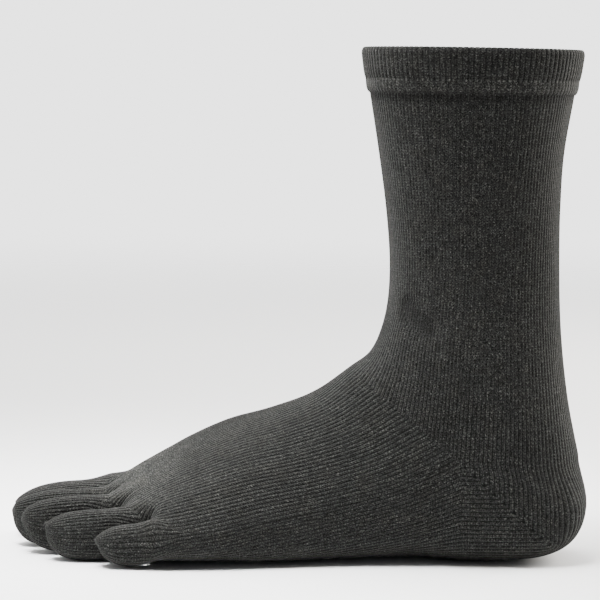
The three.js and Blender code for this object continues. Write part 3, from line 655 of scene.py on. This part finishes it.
# Materials
class Nodes:
    """Short names for the maths of a node tree."""

    def __init__(self, tree):
        self.tree = tree

    def new(self, kind, **values):
        node = self.tree.nodes.new(kind)
        for key, value in values.items():
            setattr(node, key, value)
        return node

    def put(self, socket, value):
        if isinstance(value, bpy.types.NodeSocket):
            self.tree.links.new(value, socket)
        else:
            socket.default_value = value

    def math(self, operation, a, b=0.0, c=0.0):
        node = self.new("ShaderNodeMath", operation=operation)
        for socket, value in zip(node.inputs, (a, b, c)):
            self.put(socket, value)
        return node.outputs[0]

    def times(self, first, *others):
        for other in others:
            first = self.math("MULTIPLY", first, other)
        return first

    def shade(self, tone, mask, amount):
        """The tone, paler by a share where the mask is 1, or darker if the share is negative."""
        return self.times(tone, self.math("MULTIPLY_ADD", mask, amount, 1.0))

    def separate(self, vector):
        node = self.new("ShaderNodeSeparateXYZ")
        self.put(node.inputs[0], vector)
        return node.outputs

    def combine(self, *values):
        node = self.new("ShaderNodeCombineXYZ")
        for socket, value in zip(node.inputs, values):
            self.put(socket, value)
        return node.outputs[0]

    def chance(self, dimensions, socket, value):
        """A number from 0 to 1 that is the same wherever the value is."""
        node = self.new("ShaderNodeTexWhiteNoise", noise_dimensions=dimensions)
        self.put(node.inputs[socket], value)
        return node.outputs["Value"]

    def remap(self, value, low, high, to_low=0.0, to_high=1.0, smooth=True):
        node = self.new("ShaderNodeMapRange", interpolation_type="SMOOTHSTEP" if smooth else "LINEAR")
        for socket, v in zip(node.inputs[:5], (value, low, high, to_low, to_high)):
            self.put(socket, v)
        return node.outputs[0]

    def blend(self, factor, a, b, mode="MIX"):
        node = self.new("ShaderNodeMix", data_type="RGBA", blend_type=mode, clamp_factor=True)
        self.put(node.inputs[0], factor)
        self.put(node.inputs[6], a)
        self.put(node.inputs[7], b)
        return node.outputs[2]

    def noise(self, vector, scale, detail, rough=0.5):
        node = self.new("ShaderNodeTexNoise", noise_dimensions="3D")
        self.put(node.inputs["Vector"], vector)
        self.put(node.inputs["Scale"], scale)
        self.put(node.inputs["Detail"], detail)
        self.put(node.inputs["Roughness"], rough)
        return node.outputs[0]


def stitches(n, wales, courses, place):
    """Each wale is two legs of yarn that lean together into a V, and wander a little."""
    sway = n.math("MULTIPLY_ADD", n.noise(place, 300.0, 2.0), SWAY, -SWAY / 2)
    rise = n.math("MULTIPLY_ADD", n.noise(place, 420.0, 2.0), RISE, -RISE / 2)
    u = n.math("ADD", wales, sway)
    v = n.math("ADD", courses, rise)
    off = n.math("ABSOLUTE", n.math("SUBTRACT", n.math("FRACT", u), 0.5))
    lean = n.math("MULTIPLY_ADD", off, LEAN, v)
    crest = n.math("MULTIPLY_ADD", n.math("COSINE", n.times(off, 2 * math.pi)), 0.5, 0.5)
    strand = n.math("ABSOLUTE", n.math("SINE", n.times(lean, math.pi)))
    legs = n.math("ABSOLUTE", n.math("SINE", n.times(off, 2 * math.pi)))
    stitch = n.times(n.math("POWER", strand, 0.7), n.math("MULTIPLY_ADD", legs, 0.35, 0.65))
    return u, lean, crest, stitch


def heather(n, u, lean, wales, place):
    """Each leg of a stitch and each wale has its own tone. Fibres cross them, and pale ones lie on top."""
    chance = n.chance("2D", "Vector", n.combine(n.math("FLOOR", n.times(u, 2.0)), n.math("FLOOR", lean)))
    own = n.math("MULTIPLY_ADD", chance, HEATHER, 1.0 - HEATHER / 2)
    fibre = n.remap(n.noise(place, 1900.0, 1.0, 0.6), 0.32, 0.68, 1.0 - FIBRE, 1.0 + FIBRE, smooth=False)
    cloud = n.remap(n.noise(place, 75.0, 3.0, 0.6), 0.35, 0.65, 0.9, 1.1, smooth=False)
    fleck = n.remap(n.noise(place, 2300.0, 0.0, 0.5), 0.58, 0.74, 0.0, 1.8)
    of_wale = n.chance("1D", "W", n.math("FLOOR", wales))
    of_wale = n.math("MULTIPLY_ADD", of_wale, WALE_TONES, 1.0 - WALE_TONES / 2)
    return n.times(own, fibre, n.math("MULTIPLY_ADD", fleck, 0.8, cloud), of_wale), chance


def flat_and_lit_roots(n, x, upward):
    """1 on the up-facing top of the roots of the toes, where the knit is pulled flat and painted light
    falls, and 0 elsewhere.
    """
    behind = n.remap(x, ROOTS_BACK[0] * MM, ROOTS_BACK[1] * MM, 1.0, 0.0)
    in_front = n.remap(x, ROOTS_FRONT[0] * MM, ROOTS_FRONT[1] * MM)
    return n.times(behind, n.remap(upward, 0.3, 0.9), in_front)


def welt_tone(n, tone, crest, chance, to_row, above_edge):
    """The pale row of stitches round the welt, painted shade at its lower edge and in the groove just above
    the row, and the paler ring between them.
    """
    row = n.times(n.remap(to_row, 0.25, 0.75, 1.0, 0.0), n.remap(crest, 0.3, 0.7))
    tone = n.math("ADD", tone, n.times(row, n.remap(chance, 0.1, 0.6, 0.2, 1.3)))
    # painted shade at the welt's lower edge, rising to the paler ring
    edge_shade_and_ring_tone = n.remap(above_edge, 0.3, 1.6, 0.62, 1.2)
    above = n.remap(above_edge, RING_HEIGHT - 0.2, RING_HEIGHT + 0.7)
    # painted shade in the groove just above the row of stitches
    groove_shade = n.times(above, n.remap(above_edge, RING_HEIGHT + 0.7, RING_HEIGHT + 2.2, 0.22, 0.1))
    darker = n.math("ADD", groove_shade, n.times(above, 0.06))
    return n.times(tone, n.math("SUBTRACT", edge_shade_and_ring_tone, darker))


def body_tone(n, tone, wales, courses, to_mitre, to_edge):
    """The holes and ridge at the heel's mitre, the painted shade in the crease and under the welt, and the
    sole's line.
    """
    every_other = n.math("FRACT", n.times(wales, 0.5))
    hole = n.remap(n.math("ABSOLUTE", n.math("SUBTRACT", every_other, 0.5)), 0.1, 0.28, 1.0, 0.0)
    near = n.remap(to_mitre, 0.3, 1.0, 1.0, 0.0)
    tone = n.shade(tone, n.remap(to_mitre, 0.8, 2.2, 1.0, 0.0), MITRE_RIDGE)
    tone = n.shade(tone, n.times(hole, near), -MITRE_HOLES)
    # painted shade along the crease at the front of the ankle
    crease = n.remap(n.math("ADD", to_edge, CREASE_MARK), 0.0, CREASE_WIDTH, 1.0, 0.0)
    tone = n.shade(tone, crease, -CREASE_SHADE)
    # painted shade on the leg just under the welt
    tone = n.times(tone, n.remap(courses, 1.0, 5.0, UNDER_WELT_SHADE, 1.0))
    return n.shade(tone, n.remap(n.math("ABSOLUTE", to_edge), 0.3, 1.1, 1.0, 0.0), SOLE_LINE)


def knit_material(name, rib):
    """Plain knit, or 1x1 rib, drawn in a map that counts wales across and courses down."""
    material = bpy.data.materials.new(name)
    material.use_nodes = True
    material.node_tree.nodes.clear()
    n = Nodes(material.node_tree)
    out = n.new("ShaderNodeOutputMaterial")
    shader = n.new("ShaderNodeBsdfPrincipled")
    n.put(out.inputs[0], shader.outputs[0])
    wales, courses, _ = n.separate(n.new("ShaderNodeUVMap", uv_map="knit").outputs[0])
    first_seam, second_seam, _ = n.separate(n.new("ShaderNodeUVMap", uv_map="seams").outputs[0])
    coordinates = n.new("ShaderNodeTexCoord").outputs
    place = coordinates["Object"]
    x, y, z = n.separate(place)
    upward = n.separate(coordinates["Normal"])[2]

    u, lean, crest, stitch = stitches(n, wales, courses, place)
    tone, chance = heather(n, u, lean, wales, place)

    # Painted shade in the grooves between wales: darker on the foot, and almost gone over the roots of the
    # toes, where the knit is pulled flat and lit from above
    roots = flat_and_lit_roots(n, x, upward)
    if rib:
        depth = n.remap(second_seam, RING_HEIGHT - 0.8, RING_HEIGHT + 0.6, RING_GROOVE_SHADE, WELT_GROOVE_SHADE)
    else:
        height = n.math("MULTIPLY_ADD", n.math("ADD", x, -ANKLE_X * MM), ANKLE_SLANT, z)
        depth = n.remap(height, ANKLE_LOW * MM, ANKLE_HIGH * MM, FOOT_GROOVE_SHADE, LEG_GROOVE_SHADE)
        depth = n.math("ADD", depth, n.times(roots, ROOT_SHADE_LIFT))
    # painted shade: the grooves between the crests are darkened
    tone = n.times(tone, n.remap(crest, 0.0, 0.6, depth, 1.0))
    tone = n.times(tone, n.math("MULTIPLY_ADD", stitch, 0.9, 0.38))
    # Painted light: the up-facing tops of the roots are made paler, more so away from the little toe
    pale = n.times(roots, n.remap(y, ROOTS_LIGHT_SPAN[0] * MM, ROOTS_LIGHT_SPAN[1] * MM))
    tone = n.shade(tone, pale, ROOT_PAINTED_LIGHT)
    if rib:
        tone = welt_tone(n, tone, crest, chance, first_seam, second_seam)
    else:
        tone = body_tone(n, tone, wales, courses, first_seam, second_seam)
    hue = n.blend(n.remap(n.noise(place, 140.0, 2.0), 0.4, 0.7), YARN, WARM_YARN)
    n.put(shader.inputs["Base Color"], n.blend(1.0, hue, n.combine(tone, tone, tone), "MULTIPLY"))

    height = n.math("MULTIPLY_ADD", n.noise(place, 2400.0, 2.0, 0.6), 0.45, n.times(stitch, 0.8))
    height = n.math("MULTIPLY_ADD", crest, 0.9, height)
    bump = n.new("ShaderNodeBump")
    bump.inputs["Strength"].default_value = BUMP_STRENGTH
    bump.inputs["Distance"].default_value = BUMP_DISTANCE
    n.put(bump.inputs["Height"], height)
    n.put(shader.inputs["Normal"], bump.outputs[0])
    shader.inputs["Roughness"].default_value = KNIT_ROUGHNESS
    shader.inputs["Specular IOR Level"].default_value = KNIT_SPECULAR
    shader.inputs["Sheen Weight"].default_value = SHEEN
    shader.inputs["Sheen Roughness"].default_value = SHEEN_ROUGHNESS
    shader.inputs["Sheen Tint"].default_value = SHEEN_TINT
    return material


body_knit = knit_material("body_knit", rib=False)
welt_knit = knit_material("welt_knit", rib=True)


# The zones as pieces
def every(count, step):
    """Every so many rows or columns, and the last one."""
    return np.unique(np.concatenate([np.arange(0, count, step), [count - 1]]))


def zone_sheets(zone):
    """The outer and the inner face of each grid of a zone. The inner face is coarser."""
    sheets = []
    for g in GRIDS:
        if g["zone"] != zone:
            continue
        ids = g["id"]
        sheets.append((knitted[ids], knit_normals[ids], g["u"], g["v"], g["mitre"], g["edge"]))
        coarse = np.ix_(every(ids.shape[0], LINING_ROWS), every(ids.shape[1], LINING_COLUMNS))
        inner_ids = ids[coarse][:, ::-1]
        inside = skin[inner_ids] - normals[inner_ids] * WALL
        maps = [g[key][coarse][:, ::-1] for key in ("u", "v", "mitre", "edge")]
        sheets.append((inside, -normals[inner_ids], *maps))
    return sheets


for zone in ["leg_tube", "heel_pocket", "foot_tube", "toe_base"] + [t[0] for t in TOES]:
    obj = make_piece(zone + "_knit", zone_sheets(zone), body_knit)
    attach(obj, "root")
    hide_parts(zone)

# The welt
leg_first = LEG_ROWS[0]
leg_front = np.array([leg_x - leg_first[3] * LEG_DEPTH, 0.0, 0.0])
leg_back = np.array([leg_x + leg_first[4] * LEG_DEPTH, 0.0, 0.0])
leg_outer = np.array([leg_x, -leg_first[5] * LEG_WIDTH, 0.0])
welt_shares = np.linspace(0, 1, WELT_RIBS * WELT_FINE // 2 + 1)


def welt_ring(rise, out):
    z = np.array([0.0, 0.0, FLOOR + LEG_TOP + rise * WELT_HEIGHT])
    outer = leg_outer + z + (0.0, -out, 0.0)
    inner = outer * (1, -1, 1)
    upper, _ = half_section(welt_shares, outer, leg_front + z - (out, 0.0, 0.0), inner, LEG_ROUNDNESS)
    lower, _ = half_section(welt_shares, outer, leg_back + z + (out, 0.0, 0.0), inner, LEG_ROUNDNESS)
    return np.concatenate([upper, lower[::-1][1:]])


outside = [(rise, out * WELT_FLARE) for rise, out in WELT_OUTLINE]
crown = outside[-1][1]
middle = crown - WELT_THICKNESS / 2
fold = []
for turn in np.linspace(0, math.pi, FOLD_STEPS + 1)[1:-1]:
    fold.append((mix(outside[-1][0], 1.0, math.sin(turn)), middle + WELT_THICKNESS / 2 * math.cos(turn)))
inside = [(rise, out - (WELT_THICKNESS if k else WALL)) for k, (rise, out) in enumerate(outside)][::-1]
outline = np.array(outside + fold + inside)
fine_outline = []
for a, b in zip(outline[:-1], outline[1:]):
    distance = math.hypot((b[0] - a[0]) * WELT_HEIGHT, b[1] - a[1])
    pieces = max(1, int(round(distance / WELT_STEP)))
    fine_outline += [tuple(mix(a, b, i / pieces)) for i in range(pieces)]
fine_outline.append(tuple(outline[-1]))
welt = np.array([welt_ring(rise, out) for rise, out in fine_outline])[::-1]
welt_run = np.concatenate([[0.0], np.cumsum(np.linalg.norm(np.diff(welt, axis=0), axis=2).mean(axis=1))])
welt_ids = np.arange(welt.shape[0] * welt.shape[1]).reshape(welt.shape[:2])
welt_ids[:, -1] = welt_ids[:, 0]
flat = welt.reshape(-1, 3)
welt_normals = vertex_normals(flat, quads(welt_ids))
rib_u = np.linspace(0, WELT_RIBS, welt.shape[1])
rise_of = (welt[:, 0, 2] - FLOOR - LEG_TOP) / WELT_HEIGHT
ribbed = mix(RING_RELIEF, 1.0, smooth_step((rise_of - RIB_START) / RIB_FADE))
rib_wave = 0.5 - 0.3 * np.cos(2 * math.pi * rib_u) - 0.2 * np.cos(4 * math.pi * rib_u)
lift = (WELT_RELIEF * ribbed[:, None] * (rib_wave[None] - 1.0)).reshape(-1)
welt_knitted = flat + welt_normals * lift[:, None]
welt_knit_normals = vertex_normals(welt_knitted, quads(welt_ids))
sheet_u = columns_like(rib_u, welt.shape[0])
sheet_v = np.repeat((welt_run / COURSE)[:, None], welt.shape[1], axis=1)
outside_part = welt_run > welt_run[-1] / 2
to_row = np.where(outside_part, np.abs(rise_of - STITCH_ROW) * WELT_HEIGHT, FAR)[:, None]
above_edge = np.where(outside_part, rise_of * WELT_HEIGHT, FAR)[:, None]
to_row, above_edge = (np.broadcast_to(column, sheet_u.shape) for column in (to_row, above_edge))
sheet = (welt_knitted[welt_ids], welt_knit_normals[welt_ids], sheet_u, sheet_v, to_row, above_edge)
obj = make_piece("cuff_welt_knit", [sheet], welt_knit)
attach(obj, "root")
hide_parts("cuff_welt")

# The floor
floor_mesh = bpy.data.meshes.new("floor")
corners = [(-1, -1), (1, -1), (1, 1), (-1, 1)]
floor_mesh.from_pydata([(x * FLOOR_EDGE, y * FLOOR_EDGE, 0) for x, y in corners], [], [(0, 1, 2, 3)])
floor = bpy.data.objects.new("floor", floor_mesh)
floor.location.z = FLOOR * MM - FLOOR_DROP
bpy.context.scene.collection.objects.link(floor)
pale = bpy.data.materials.new("pale_floor")
pale.use_nodes = True
n = Nodes(pale.node_tree)
paint = pale.node_tree.nodes["Principled BSDF"]
paint.inputs["Base Color"].default_value = FLOOR_COLOUR
paint.inputs["Roughness"].default_value = 0.95
paint.inputs["Specular IOR Level"].default_value = 0.0
reach = n.new("ShaderNodeVectorMath", operation="LENGTH")
n.put(reach.inputs[0], n.new("ShaderNodeTexCoord").outputs["Object"])
n.put(paint.inputs["Alpha"], n.remap(reach.outputs["Value"], FADE_START, FADE_END, 1.0, 0.0))
floor_mesh.materials.append(pale)

# A white studio: bright behind the sock, and dimmer on the side of the little toe
world = bpy.data.worlds.new("studio")
world.use_nodes = True
n = Nodes(world.node_tree)
_, depth, height = n.separate(n.new("ShaderNodeTexCoord").outputs["Generated"])
near = n.remap(height, -0.12, 0.04, WORLD_LOW, WORLD_NEAR)
glow = n.remap(depth, -0.7, 0.7, near, WORLD_FAR)
background = world.node_tree.nodes["Background"]
background.inputs[0].default_value = (1.0, 1.0, 1.0, 1.0)
n.put(background.inputs[1], glow)
bpy.context.scene.world = world


def area_light(name, place, target, size, power, colour=(1.0, 1.0, 1.0)):
    data = bpy.data.lights.new(name, "AREA")
    data.shape = "RECTANGLE"
    data.size, data.size_y = size
    data.energy = power
    data.color = colour
    light = bpy.data.objects.new(name, data)
    light.location = place
    light.rotation_euler = (Vector(target) - Vector(place)).to_track_quat("-Z", "Y").to_euler()
    bpy.context.scene.collection.objects.link(light)
    return light


area_light("top_back", (-0.3, 0.5, 1.1), SUBJECT, (0.9, 0.9), TOP_POWER)
area_light("back_right", (0.9, 0.55, 0.6), SUBJECT, (0.8, 0.8), SIDE_POWER, (1.0, 0.96, 0.89))
toes_light = area_light("over_toes", (-0.3, -0.1, 0.8), (-0.16, 0.0, 0.02), (0.35, 0.35), TOE_POWER)
toes_light.data.spread = math.radians(50)

# The camera stands on the little toe's side, a metre away and near the height of the welt, a little tilted
drop = CAMERA_ABOVE_FLOOR - AIM_ABOVE_FLOOR
pitch = math.atan2(drop, CAMERA_AWAY)
forward = Vector((0.0, math.cos(pitch), -math.sin(pitch)))
up = Vector((0.0, math.sin(pitch), math.cos(pitch)))
right = Vector((1.0, 0.0, 0.0))
right, up = (right * math.cos(CAMERA_ROLL) + up * math.sin(CAMERA_ROLL),
             up * math.cos(CAMERA_ROLL) - right * math.sin(CAMERA_ROLL))
camera_data = bpy.data.cameras.new("camera")
camera_data.sensor_width = SENSOR
camera_data.lens = PIXELS_PER_MM * math.hypot(CAMERA_AWAY, drop) * SENSOR / FRAME_PIXELS
camera_data.clip_start = 0.01
camera_data.clip_end = 50.0
camera = bpy.data.objects.new("camera", camera_data)
turn = Matrix((right, up, -forward)).transposed()
camera_place = Vector((CAMERA_X, -CAMERA_AWAY, CAMERA_ABOVE_FLOOR + FLOOR)) * MM
camera.matrix_world = Matrix.Translation(camera_place) @ turn.to_4x4()
bpy.context.scene.collection.objects.link(camera)
bpy.context.scene.camera = camera

bpy.context.view_layer.update()
